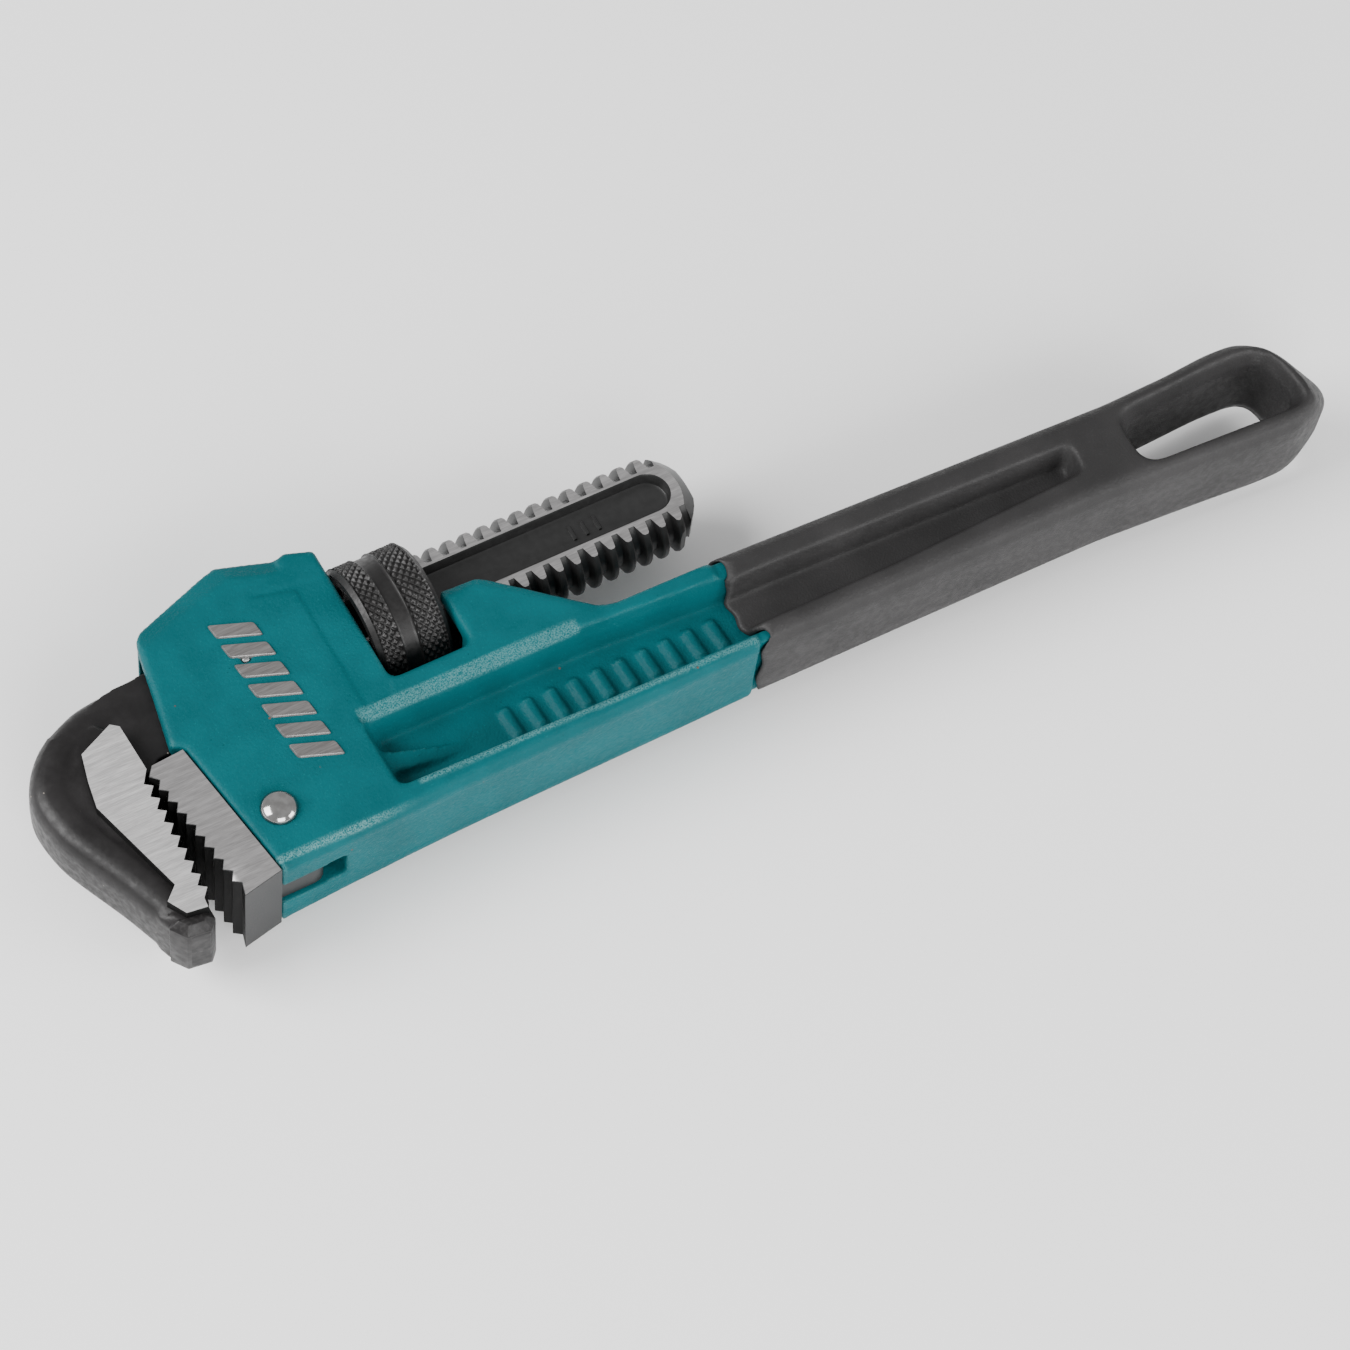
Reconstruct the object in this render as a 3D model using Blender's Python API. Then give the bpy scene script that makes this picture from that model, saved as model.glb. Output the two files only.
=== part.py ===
"""Pipe wrench, nominal 12 inch, lying flat with its jaws closed. Metres, +Z up.

Working axes, in mm: x = 0 at the nut's rear rim and +x to the handle's end,
y = 0 on the shank's axis and +y away from the heel jaw, z = 0 in the mid-plane.
One shift at the end puts the assembly's bounding box on the origin.
"""
import math

import bmesh
import bpy

MM = 0.001

# Adjusting screw
PITCH = 3.63
THREAD_R = 9.78
ROOT_R = 7.6
THREAD_X0 = -19.0
SHANK_END = 56.3
SHANK_HALF_Z = 5.73
GROOVE_TOP = 4.5
GROOVE_LOW = -4.2
GROOVE_FLOOR_Z = 3.0
NUT_R = 13.23
NUT_X0 = -14.4
NUT_X1 = 0.0
NUT_BORE_R = 8.0
NUT_MAJOR_R = 10.2

# Body casting
HALF_Z = 10.0
EDGE = 1.0
WINDOW_X0 = -15.1
WINDOW_X1 = 1.43
WINDOW_FLOOR = -15.7
PASSAGE_HALF_Z = 6.3
PASSAGE_TOP = 11.4
PASSAGE_LOW = -10.4
CHANNEL_FLOOR = -12.0
SLOT_HALF_Z = 3.3
SLOT_X1 = -37.0
SLOT_TOP = -18.0
WEB_HALF_Z = 3.4
HANDLE_END = 178.3
NECK_X = 48.5
NECK_HALF_Z = 9.3
TANG_HALF_Z = 8.7
LOW_ROUND = 2.6
GRIP_HALF_Z = 10.15

# Jaws
TOOTH_COUNT = 9
HOOK_TOOTH = 2.78
HEEL_TOOTH = 2.75
HOOK_SHIFT = -0.75
HEAD_HALF_Z = 7.5
PAD_HALF_Z = 9.2
RIVET_X = -45.1
RIVET_Y = -30.6
RIVET_R = 2.3
RIVET_HEAD_R = 3.32
KEEPER_X = -36.4
KEEPER_Y = -0.4
COIL_X = -29.0
GAP = 0.3

# Where the bounding box's bottom centre lies in the working axes
CENTRE_X = (HANDLE_END - 82.6) / 2
CENTRE_Y = (19.8 - 45.0) / 2
BOTTOM_Z = -NUT_R

BODY_TOP = [
    (-54.38, -12.3), (-56.4, -10.5), (-54.2, 0.8), (-52.6, 9.8), (-52.0, 11.9),
    (-50.7, 13.5), (-36.0, 18.9), (-32.9, 19.8), (-27.3, 18.0), (-21.8, 16.1),
    (-20.3, 16.6), (WINDOW_X0, 14.7),
]
EAR = [
    (WINDOW_X1, -3.4), (9.1, -3.7), (12.2, -6.5), (26.0, -18.9), (28.5, -19.8),
]
GRIP_TOP = [
    (48.8, -18.75), (90.4, -20.35), (134.7, -22.1), (149.0, -21.8), (159.0, -21.1),
    (164.9, -21.4), (168.0, -22.7), (171.2, -25.1), (174.8, -29.5), (177.0, -33.1),
]
GRIP_LOW = [
    (HANDLE_END, -36.2), (177.7, -38.9), (175.2, -41.0), (171.5, -42.6), (166.8, -44.1),
    (160.9, -44.0), (147.5, -42.9), (125.1, -41.3), (80.0, -40.7), (48.8, -40.4),
]
HOLE = [(135.7, -37.1), (136.2, -27.6), (160.0, -26.6), (168.8, -27.2), (169.9, -38.9)]


def reset():
    for obj in list(bpy.data.objects):
        bpy.data.objects.remove(obj, do_unlink=True)
    for name in ("pipe_wrench", "cutters"):
        if name not in bpy.data.collections:
            bpy.data.collections.new(name)
        group = bpy.data.collections[name]
        if name not in bpy.context.scene.collection.children:
            bpy.context.scene.collection.children.link(group)


def material(name, colour, metallic, roughness):
    mat = bpy.data.materials.new(name)
    mat.use_nodes = True
    shader = mat.node_tree.nodes["Principled BSDF"]
    shader.inputs["Base Color"].default_value = (*colour, 1.0)
    shader.inputs["Metallic"].default_value = metallic
    shader.inputs["Roughness"].default_value = roughness
    return mat


def finish(name, bm, cutter=True):
    """Make an object from the bmesh, in the right collection, at the shared shift."""
    bmesh.ops.recalc_face_normals(bm, faces=bm.faces)
    mesh = bpy.data.meshes.new(name)
    bm.to_mesh(mesh)
    bm.free()
    obj = bpy.data.objects.new(name, mesh)
    obj.location = (-CENTRE_X * MM, -CENTRE_Y * MM, -BOTTOM_Z * MM)
    bpy.data.collections["cutters" if cutter else "pipe_wrench"].objects.link(obj)
    if cutter:
        obj.hide_render = True
        obj.display_type = "WIRE"
    return obj


def boolean(target, other, operation):
    mod = target.modifiers.new(other.name, "BOOLEAN")
    mod.operation = operation
    mod.solver = "EXACT"
    mod.object = other


def cut(target, *others):
    for other in others:
        boolean(target, other, "DIFFERENCE")


def add(target, *others):
    for other in others:
        boolean(target, other, "UNION")


def smooth(obj, degrees=32.0):
    for poly in obj.data.polygons:
        poly.use_smooth = True
    obj.data.set_sharp_from_angle(angle=math.radians(degrees))


def rounded(points, radius, steps=3, only=None):
    """The closed outline with its corners rounded; only = the corner numbers to round."""
    out = []
    count = len(points)
    for i, (x, y) in enumerate(points):
        if only is not None and i not in only:
            out.append((x, y))
            continue
        ax, ay = points[i - 1][0] - x, points[i - 1][1] - y
        bx, by = points[(i + 1) % count][0] - x, points[(i + 1) % count][1] - y
        la, lb = math.hypot(ax, ay), math.hypot(bx, by)
        cut_back = min(radius, la * 0.45, lb * 0.45)
        p = (x + ax / la * cut_back, y + ay / la * cut_back)
        q = (x + bx / lb * cut_back, y + by / lb * cut_back)
        for k in range(steps + 1):
            t = k / steps
            u = (1 - t) * (1 - t)
            v = 2 * t * (1 - t)
            w = t * t
            out.append((u * p[0] + v * x + w * q[0], u * p[1] + v * y + w * q[1]))
    return out


def area(points):
    total = 0.0
    for i, (x, y) in enumerate(points):
        total += points[i - 1][0] * y - x * points[i - 1][1]
    return total / 2


def inset(points, distance):
    """The outline moved inwards by the distance, corner by corner."""
    side = 1.0 if area(points) > 0 else -1.0
    count = len(points)
    out = []
    for i, (x, y) in enumerate(points):
        ax, ay = x - points[i - 1][0], y - points[i - 1][1]
        bx, by = points[(i + 1) % count][0] - x, points[(i + 1) % count][1] - y
        la, lb = math.hypot(ax, ay), math.hypot(bx, by)
        nx = -(ay / la + by / lb) * side
        ny = (ax / la + bx / lb) * side
        size = math.hypot(nx, ny)
        step = distance / max(0.5, size / 2)
        out.append((x + nx / size * step, y + ny / size * step))
    return out


def stack(name, rings, cutter=True):
    """A closed solid through rings of (outline, z), in mm."""
    bm = bmesh.new()
    layers = []
    for outline, z in rings:
        layers.append([bm.verts.new((x * MM, y * MM, z * MM)) for x, y in outline])
    for low, high in zip(layers, layers[1:]):
        for i in range(len(low)):
            bm.faces.new((low[i - 1], low[i], high[i], high[i - 1]))
    bm.faces.new(layers[0])
    bm.faces.new(layers[-1])
    return finish(name, bm, cutter)


def plate(name, outline, z0, z1, edge=0.0, cutter=True):
    """An extruded outline with both rims rounded by the edge size."""
    if edge <= 0:
        return stack(name, [(outline, z0), (outline, z1)], cutter)
    rings = []
    for share, rise in ((1.0, 0.0), (0.3, 0.3), (0.0, 1.0)):
        rings.append((inset(outline, edge * share), z0 + edge * rise))
    for share, rise in ((0.0, 1.0), (0.3, 0.3), (1.0, 0.0)):
        rings.append((inset(outline, edge * share), z1 - edge * rise))
    return stack(name, rings, cutter)


def sloped(name, points, radius, z_floor, z_open, spread):
    """A round-cornered pocket cutter that widens from its floor to its open side."""
    floor = rounded(inset(points, spread), radius * 0.6, 2)
    return stack(name, [(floor, z_floor), (rounded(points, radius, 2), z_open)])


def box(name, x0, x1, y0, y1, z0, z1):
    return plate(name, [(x0, y0), (x1, y0), (x1, y1), (x0, y1)], z0, z1)


def beam(name, sections):
    """A closed solid along x through sections of (x, outline in y and z)."""
    bm = bmesh.new()
    layers = []
    for x, outline in sections:
        layers.append([bm.verts.new((x * MM, y * MM, z * MM)) for y, z in outline])
    for low, high in zip(layers, layers[1:]):
        for i in range(len(low)):
            bm.faces.new((low[i - 1], low[i], high[i], high[i - 1]))
    bm.faces.new(layers[0])
    bm.faces.new(layers[-1])
    return finish(name, bm)


def turned(name, axis, origin, profile, count, cutter=True):
    """A solid of revolution; profile = [(distance along the axis, radius)]."""
    bm = bmesh.new()
    rings = []
    for along, radius in profile:
        ring = []
        for k in range(count):
            a = 2 * math.pi * k / count
            c, s = radius * math.cos(a), radius * math.sin(a)
            offset = {"x": (along, c, s), "y": (c, along, s), "z": (c, s, along)}[axis]
            ring.append(bm.verts.new([(o + d) * MM for o, d in zip(origin, offset)]))
        rings.append(ring)
    for low, high in zip(rings, rings[1:]):
        for k in range(count):
            bm.faces.new((low[k - 1], low[k], high[k], high[k - 1]))
    bm.faces.new(rings[0])
    bm.faces.new(rings[-1])
    return finish(name, bm, cutter)


def helix(name, x0, x1, profile, start_deg, steps_per_turn=20):
    """A closed right-hand coil about the x axis; profile = [(offset in x, radius)]."""
    bm = bmesh.new()
    steps = int(round((x1 - x0) / PITCH * steps_per_turn))
    rings = []
    for k in range(steps + 1):
        x = x0 + PITCH * k / steps_per_turn
        a = math.radians(start_deg) + 2 * math.pi * k / steps_per_turn
        ring = []
        for dx, r in profile:
            point = (x + dx, r * math.cos(a), r * math.sin(a))
            ring.append(bm.verts.new([c * MM for c in point]))
        rings.append(ring)
    for low, high in zip(rings, rings[1:]):
        for k in range(len(profile)):
            bm.faces.new((low[k - 1], low[k], high[k], high[k - 1]))
    bm.faces.new(rings[0])
    bm.faces.new(rings[-1])
    return finish(name, bm)


def crest_angle(x):
    """The angle from +y towards +z at which a thread crest crosses x."""
    return 35.9 + 360.0 * (x - 5.52) / PITCH


def body_outline():
    floor = [(WINDOW_X0, WINDOW_FLOOR), (WINDOW_X1, WINDOW_FLOOR)]
    rear = inset(GRIP_TOP + GRIP_LOW, 1.5)
    step = NECK_X - 0.2
    points = BODY_TOP + floor + EAR + [(step, -20.05), (step, -20.4)] + rear[1:-1]
    points += [(step, -39.0), (step, -40.0), (-15.0, -40.6), (-35.0, -41.2), (-49.8, -41.7)]
    corners = [i for i, p in enumerate(points) if p in floor]
    corners += [i for i, p in enumerate(points) if p in EAR[1:]]
    return rounded(points, 2.0, 3, corners)


POCKET = [
    (-24.6, -20.9), (20.0, -21.3), (45.3, -22.9), (125.5, -26.8), (127.0, -35.4),
    (80.0, -38.0), (20.0, -37.7), (-24.6, -36.6),
]


def hole_outline(grow=0.0):
    return rounded(inset(HOLE, -grow), 4.5, 4)


def slimming(side, sign):
    """Cutter that thins the casting towards the sleeve and again inside it."""
    x0, x1, x2 = 2.0, NECK_X, HANDLE_END + 1.0
    wide = [(-50.0, 13.0 * sign), (0.0, 13.0 * sign)]
    sections = []
    for x, z in ((x0, HALF_Z), (x1, NECK_HALF_Z), (x1 + 0.01, TANG_HALF_Z), (x2, TANG_HALF_Z)):
        sections.append((x, wide + [(0.0, z * sign), (-50.0, z * sign)]))
    return beam("slimming_" + side, sections)


def low_rounding(side, sign):
    """Cutter that rounds the casting's long low edge."""
    sections = []
    for x, y in ((-49.0, -42.1), (-35.0, -41.3), (-15.0, -40.6), (NECK_X, -40.0)):
        outline = [(-46.0, 12.0 * sign), (-46.0, (HALF_Z - LOW_ROUND) * sign)]
        for k in range(5):
            a = math.radians(22.5 * k)
            across = y + LOW_ROUND - LOW_ROUND * math.cos(a)
            up = HALF_Z - LOW_ROUND + LOW_ROUND * math.sin(a)
            outline.append((across - 0.02, (up + 0.02) * sign))
        outline.append((y + LOW_ROUND, 12.0 * sign))
        sections.append((x, outline))
    return beam("low_rounding_" + side, sections)


def handle_body(mat):
    body = plate("handle_body", body_outline(), -HALF_Z, HALF_Z, EDGE, cutter=False)
    body.data.materials.append(mat)
    p = PASSAGE_HALF_Z
    cut(body, box("passage", -70.0, WINDOW_X0 + 1, PASSAGE_LOW, PASSAGE_TOP, -p, p))
    cut(body, box("channel", WINDOW_X1 - 1, 60.0, CHANNEL_FLOOR, 25.0, -p, p))
    s = SLOT_HALF_Z
    cut(body, box("heel_slot", -60.0, SLOT_X1, -50.0, SLOT_TOP, -s, s))
    for sign, side in ((1, "near"), (-1, "far")):
        cut(body, sloped("pocket_" + side, POCKET, 2.0, sign * WEB_HALF_Z, sign * 10.6, 2.8))
        cut(body, slimming(side, sign), low_rounding(side, sign))
    cut(body, plate("hang_cut", hole_outline(2.2), -20.0, 20.0))
    hole = [(-20.0, RIVET_R + GAP), (20.0, RIVET_R + GAP)]
    cut(body, turned("rivet_bore", "z", (RIVET_X, RIVET_Y, 0), hole, 24))
    hole = [(4.0, 1.1), (20.0, 1.1)]
    cut(body, turned("keeper_bore", "z", (KEEPER_X, KEEPER_Y, 0), hole, 16))
    hole = [(-17.2, 3.15), (-9.0, 3.15)]
    cut(body, turned("coil_bore", "y", (COIL_X, 0, 0), hole, 24))
    return body


def grip_shape(name, points, half_z):
    """A bar with well rounded long edges, through seven rings."""
    corners = range(1, len(points) - 1)
    rings = []
    for z in (-1.0, -0.9, -0.72, -0.45, 0.45, 0.72, 0.9, 1.0):
        drop = {1.0: 2.9, 0.9: 1.1, 0.72: 0.25, 0.45: 0.0}[abs(z)]
        rings.append((rounded(inset(points, drop), 1.8, 2, corners), half_z * z))
    return stack(name, rings, cutter=False)


def grip_sleeve(mat):
    """Dipped sleeve: follows the handle all over, 0.3 mm off it."""
    grip = grip_shape("grip_sleeve", GRIP_TOP + GRIP_LOW, GRIP_HALF_Z)
    grip.data.materials.append(mat)
    inner = inset(GRIP_TOP + GRIP_LOW, 1.2)
    inner[0] = (40.0, GRIP_TOP[0][1] - 1.0)
    inner[-1] = (40.0, GRIP_LOW[-1][1] + 1.0)
    tall = TANG_HALF_Z + GAP
    core = plate("sleeve_bore", inner, -tall, tall, 0.4)
    for sign, side in ((1, "near"), (-1, "far")):
        fill = inset(POCKET, GAP)
        floor = sign * (WEB_HALF_Z + GAP)
        cut(core, sloped("fill_" + side, fill, 2.0, floor, sign * 10.6, 2.7))
    cut(core, plate("core_hole", hole_outline(1.9), -20.0, 20.0))
    cut(grip, core)
    for sign, side in ((1, "near"), (-1, "far")):
        trough = [
            (30.0, -24.2), (60.0, -24.6), (124.6, -27.2), (123.4, -35.6),
            (80.0, -37.0), (30.0, -36.8),
        ]
        floor = sign * (WEB_HALF_Z + 1.9)
        cut(grip, sloped("trough_" + side, trough, 2.0, floor, sign * 12.0, 2.8))
    cut(grip, stack("hang_hole", [
        (hole_outline(3.4), -11.4), (hole_outline(1.5), -9.4), (hole_outline(0.3), -6.4),
        (hole_outline(0.3), 6.4), (hole_outline(1.5), 9.4), (hole_outline(3.4), 11.4),
    ]))
    smooth(grip)
    return grip


def teeth(x_tip, x_root, y0, pitch, lean, steep):
    """Tooth outline going -y; lean = x gained per mm of -y, steep = where the tip sits."""
    out = []
    for k in range(TOOTH_COUNT):
        y = y0 - pitch * k
        x = lean * pitch * k
        out.append((x_root + x, y))
        out.append((x_tip + x + lean * pitch * steep, y - pitch * steep))
    y = y0 - pitch * TOOTH_COUNT
    out.append((x_root + lean * pitch * TOOTH_COUNT, y))
    return out


def heel_jaw(mat):
    lean = math.tan(math.radians(8.4))
    row = teeth(-62.35, -61.05, -16.0, HEEL_TOOTH, lean, 0.63)
    outline = [(-50.1, -41.7), (-54.7, -12.2), (-61.1, -12.7), (-62.5, -14.6)]
    outline += row + [(-58.1, -43.3)]
    jaw = plate("heel_jaw", outline, -HALF_Z, HALF_Z, cutter=False)
    jaw.data.materials.append(mat)
    t = SLOT_HALF_Z - GAP
    tongue = [(-56.0, -18.6), (-37.6, -18.6), (-37.6, -30.0), (-41.0, -40.6), (-55.0, -40.6)]
    add(jaw, plate("tongue", rounded(tongue, 2.0, 3, [1, 3]), -t, t))
    hole = [(-20.0, RIVET_R + GAP), (20.0, RIVET_R + GAP)]
    cut(jaw, turned("tongue_bore", "z", (RIVET_X, RIVET_Y, 0), hole, 24))
    return jaw


def heel_pin(mat):
    dome = [(10.3, 0.0), (10.75, -0.12), (11.2, -0.6), (11.55, -1.35), (11.7, -2.3)]
    profile = []
    for z, drop in reversed(dome):
        profile.append((-z, RIVET_HEAD_R + drop))
    profile.append((-10.3, RIVET_R))
    profile.append((10.3, RIVET_R))
    for z, drop in dome:
        profile.append((z, RIVET_HEAD_R + drop))
    pin = turned("heel_jaw_pin", "z", (RIVET_X, RIVET_Y, 0), profile, 28, cutter=False)
    pin.data.materials.append(mat)
    smooth(pin)
    return pin


def keeper_pin(mat):
    profile = [(3.4, 0.5), (3.7, 0.8), (9.6, 0.8), (9.9, 0.5)]
    pin = turned("shank_keeper_pin", "z", (KEEPER_X, KEEPER_Y, 0), profile, 20, cutter=False)
    pin.data.materials.append(mat)
    smooth(pin)
    return pin


def hook_head_outline():
    row = teeth(-61.6, -63.0, -15.1, HOOK_TOOTH, -0.025, 0.37)
    row = [(x + HOOK_SHIFT, y) for x, y in row]
    nose = [(-63.3, -43.2), (-64.7, -45.0), (-68.6, -44.4)]
    back = [
        (-71.0, -40.9), (-72.9, -36.2), (-74.9, -31.3), (-77.1, -26.5), (-79.2, -21.8),
        (-80.9, -17.0), (-81.7, -11.0), (-81.2, -6.9), (-79.4, -3.2), (-77.0, 0.0),
        (-73.9, 2.5), (-68.2, 5.4), (-64.4, 6.7), (-60.4, 7.5), (-50.0, 7.9),
    ]
    back = [(x + HOOK_SHIFT, y) for x, y in back]
    nose = [(x + HOOK_SHIFT, y) for x, y in nose]
    throat = [(-50.0, -9.6), (-57.5, -10.0), (-61.6, -12.2)]
    return row, nose, back, throat


def hook_jaw(mat):
    row, nose, back, throat = hook_head_outline()
    outline = row + nose + back + throat
    head = plate("hook_head", outline, -SHANK_HALF_Z, SHANK_HALF_Z)
    front = row + nose + back[:-2] + [(-63.6, 7.7), (-62.4, 6.0), (-61.8, -12.4)]
    corners = range(len(row) + 1, len(front) - 2)
    shells = [rounded(inset(front, d), 0.9, 2, corners) for d in (1.1, 0.5, 0.3)]
    brow = stack("hook_brow", [
        (shells[0], -HEAD_HALF_Z), (shells[1], 0.8 - HEAD_HALF_Z),
        (shells[2], 2.4 - HEAD_HALF_Z), (shells[2], HEAD_HALF_Z - 2.4),
        (shells[1], HEAD_HALF_Z - 0.8), (shells[0], HEAD_HALF_Z),
    ])
    pad = [(x, y) for x, y in row]
    pad += [(-64.4, -42.0), (-68.4, -41.4), (-70.4, -37.8), (-67.6, -35.6), (-68.3, -32.8)]
    pad += [(-73.2, -15.7), (-72.3, -10.4), (-70.9, -4.7), (-63.8, -1.4), (-62.3, -2.4)]
    pad += [(-61.9, -12.6)]
    face = plate("hook_pad", pad, -PAD_HALF_Z, PAD_HALF_Z)
    z = SHANK_HALF_Z
    neck = plate("hook_neck", [(-52.0, -9.6), (-18.0, -9.3), (-18.0, 7.9), (-52.0, 7.9)], -z, z)
    core = [(-22.0, ROOT_R), (SHANK_END - 1.0, ROOT_R), (SHANK_END, ROOT_R - 1.0)]
    shank = turned("hook_jaw", "x", (0, 0, 0), core, 40, cutter=False)
    shank.data.materials.append(mat)
    flank = 1.35
    crest = 0.45
    profile = [(-flank, ROOT_R - 0.8), (-crest, THREAD_R), (crest, THREAD_R),
               (flank, ROOT_R - 0.8)]
    start = crest_angle(THREAD_X0)
    add(shank, helix("thread", THREAD_X0, SHANK_END + 2.0, profile, start))
    arc = []
    for k in range(9):
        a = math.radians(-80 + 20 * k)
        arc.append((SHANK_END - 9.9 + 9.9 * math.cos(a), 9.9 * math.sin(a)))
    clip = [(-21.0, -12.0), (arc[0][0], -12.0)] + arc + [(arc[-1][0], 12.0), (-21.0, 12.0)]
    clip_plate = plate("shank_flats", clip, -z, z)
    boolean(shank, clip_plate, "INTERSECT")
    add(shank, neck, head, brow, face)
    for sign, side in ((1, "near"), (-1, "far")):
        groove = []
        for k in range(9):
            a = math.radians(-90 + 22.5 * k)
            mid = (GROOVE_TOP + GROOVE_LOW) / 2
            half = (GROOVE_TOP - GROOVE_LOW) / 2
            groove.append((47.6 + half * math.cos(a), mid + half * math.sin(a)))
        groove += [(-46.0, GROOVE_TOP), (-46.0, GROOVE_LOW)]
        cut(shank, stack("groove_" + side, [
            (inset(groove, 0.5), sign * GROOVE_FLOOR_Z), (groove, sign * 6.4),
        ]))
    return shank


def adjusting_nut(mat):
    x0, x1, r = NUT_X0, NUT_X1, NUT_R
    profile = [
        (x0, NUT_BORE_R + 2.4), (x0, r - 0.9), (x0 + 0.9, r), (x0 + 4.7, r),
        (x0 + 5.2, r - 0.55), (x0 + 8.0, r - 0.55), (x0 + 8.5, r), (x1 - 0.9, r),
        (x1, r - 0.9), (x1, NUT_BORE_R + 2.4),
    ]
    nut = turned("adjusting_nut", "x", (0, 0, 0), profile, 64, cutter=False)
    nut.data.materials.append(mat)
    bore = [(x0 - 1, NUT_BORE_R + 2.5), (x0, NUT_BORE_R + 2.4), (x0 + 1.6, NUT_BORE_R)]
    bore += [(x1 - 1.6, NUT_BORE_R), (x1, NUT_BORE_R + 2.4), (x1 + 1, NUT_BORE_R + 2.5)]
    cut(nut, turned("nut_bore", "x", (0, 0, 0), bore, 40))
    start = crest_angle(x0 - PITCH * 0.6)
    profile = [(-1.75, NUT_BORE_R - 0.6), (-0.8, NUT_MAJOR_R), (0.8, NUT_MAJOR_R),
               (1.75, NUT_BORE_R - 0.6)]
    cut(nut, helix("nut_thread", x0 - PITCH * 0.6, x1 + PITCH * 0.6, profile, start))
    smooth(nut)
    return nut


def flat_spring(mat):
    """A bowed leaf under the housing's roof, pressing on the shank's back."""
    top = []
    low = []
    for k in range(13):
        t = k / 12
        x = -47.5 + 29.0 * t
        y = 11.1 - 0.78 * math.sin(math.pi * t)
        top.append((x, y))
        low.append((x, y - 0.7))
    leaf = plate("flat_spring", low + list(reversed(top)), -4.8, 4.8, cutter=False)
    leaf.data.materials.append(mat)
    smooth(leaf)
    return leaf


def coil_spring(mat):
    """A compression spring in the blind bore below the shank."""
    bm = bmesh.new()
    wire, radius, turns, sides = 0.42, 2.2, 4.5, 6
    steps = int(turns * 12)
    low, high = -16.4, -10.35
    rings = []
    for k in range(steps + 1):
        a = 2 * math.pi * k / 12
        y = low + (high - low) * k / steps
        ring = []
        for j in range(sides):
            b = 2 * math.pi * j / sides
            r = radius + wire * math.cos(b)
            point = (COIL_X + r * math.cos(a), y + wire * math.sin(b), r * math.sin(a))
            ring.append(bm.verts.new([c * MM for c in point]))
        rings.append(ring)
    for one, two in zip(rings, rings[1:]):
        for j in range(sides):
            bm.faces.new((one[j - 1], one[j], two[j], two[j - 1]))
    bm.faces.new(rings[0])
    bm.faces.new(rings[-1])
    spring = finish("coil_spring", bm, cutter=False)
    spring.data.materials.append(mat)
    smooth(spring, 60.0)
    return spring


def main():
    reset()
    handle_body(material("teal_enamel", (0.0, 0.2, 0.23), 0.0, 0.45))
    grip_sleeve(material("black_vinyl", (0.035, 0.035, 0.037), 0.0, 0.6))
    hook_jaw(material("blackened_steel", (0.045, 0.045, 0.047), 0.85, 0.5))
    heel_jaw(material("ground_steel", (0.42, 0.42, 0.43), 1.0, 0.35))
    heel_pin(material("polished_steel", (0.72, 0.72, 0.73), 1.0, 0.2))
    keeper_pin(material("keeper_steel", (0.3, 0.3, 0.3), 1.0, 0.4))
    adjusting_nut(material("black_oxide", (0.03, 0.03, 0.032), 0.8, 0.5))
    flat_spring(material("spring_steel", (0.25, 0.26, 0.28), 1.0, 0.35))
    coil_spring(material("coil_steel", (0.3, 0.31, 0.33), 1.0, 0.3))


main()
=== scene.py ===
"""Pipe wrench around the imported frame. Lengths are in mm in the working axes below."""
import math

import bmesh
import bpy
import numpy as np
from mathutils import Matrix, Vector

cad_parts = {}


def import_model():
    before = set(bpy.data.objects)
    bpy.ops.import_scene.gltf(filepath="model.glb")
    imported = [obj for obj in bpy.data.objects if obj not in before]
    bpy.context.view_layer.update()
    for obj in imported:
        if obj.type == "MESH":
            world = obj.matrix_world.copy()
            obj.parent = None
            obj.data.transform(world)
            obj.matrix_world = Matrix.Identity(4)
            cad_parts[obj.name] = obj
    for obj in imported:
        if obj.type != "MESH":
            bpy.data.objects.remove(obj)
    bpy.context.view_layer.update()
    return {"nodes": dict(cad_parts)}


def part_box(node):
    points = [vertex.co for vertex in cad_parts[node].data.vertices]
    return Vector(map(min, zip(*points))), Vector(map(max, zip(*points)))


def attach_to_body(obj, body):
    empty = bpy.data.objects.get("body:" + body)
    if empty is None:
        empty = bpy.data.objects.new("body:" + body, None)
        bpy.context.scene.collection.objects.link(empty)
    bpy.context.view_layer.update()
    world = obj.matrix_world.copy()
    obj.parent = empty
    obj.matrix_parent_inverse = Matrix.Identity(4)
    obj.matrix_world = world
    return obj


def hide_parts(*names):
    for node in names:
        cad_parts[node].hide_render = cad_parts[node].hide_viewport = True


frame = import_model()

MM = 0.001
NUT_LOW, NUT_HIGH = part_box("adjusting_nut")
# Working axes: x = 0 at the nut's rear rim, y = z = 0 on the shank's axis.
ORIGIN = Vector((NUT_HIGH[0], (NUT_LOW[1] + NUT_HIGH[1]) / 2, (NUT_LOW[2] + NUT_HIGH[2]) / 2))
SCENE = bpy.context.scene


def world(x, y, z):
    """A point of the working axes, in the frame's metres."""
    return ORIGIN + Vector((x, y, z)) * MM


def add_object(name, data):
    obj = bpy.data.objects.new(name, data)
    SCENE.collection.objects.link(obj)
    return obj


# ---------------------------------------------------------------- mesh tools
def make(name, bm):
    """An object from a bmesh, its faces turned outward."""
    bmesh.ops.recalc_face_normals(bm, faces=bm.faces)
    mesh = bpy.data.meshes.new(name)
    bm.to_mesh(mesh)
    bm.free()
    return add_object(name, mesh)


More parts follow.
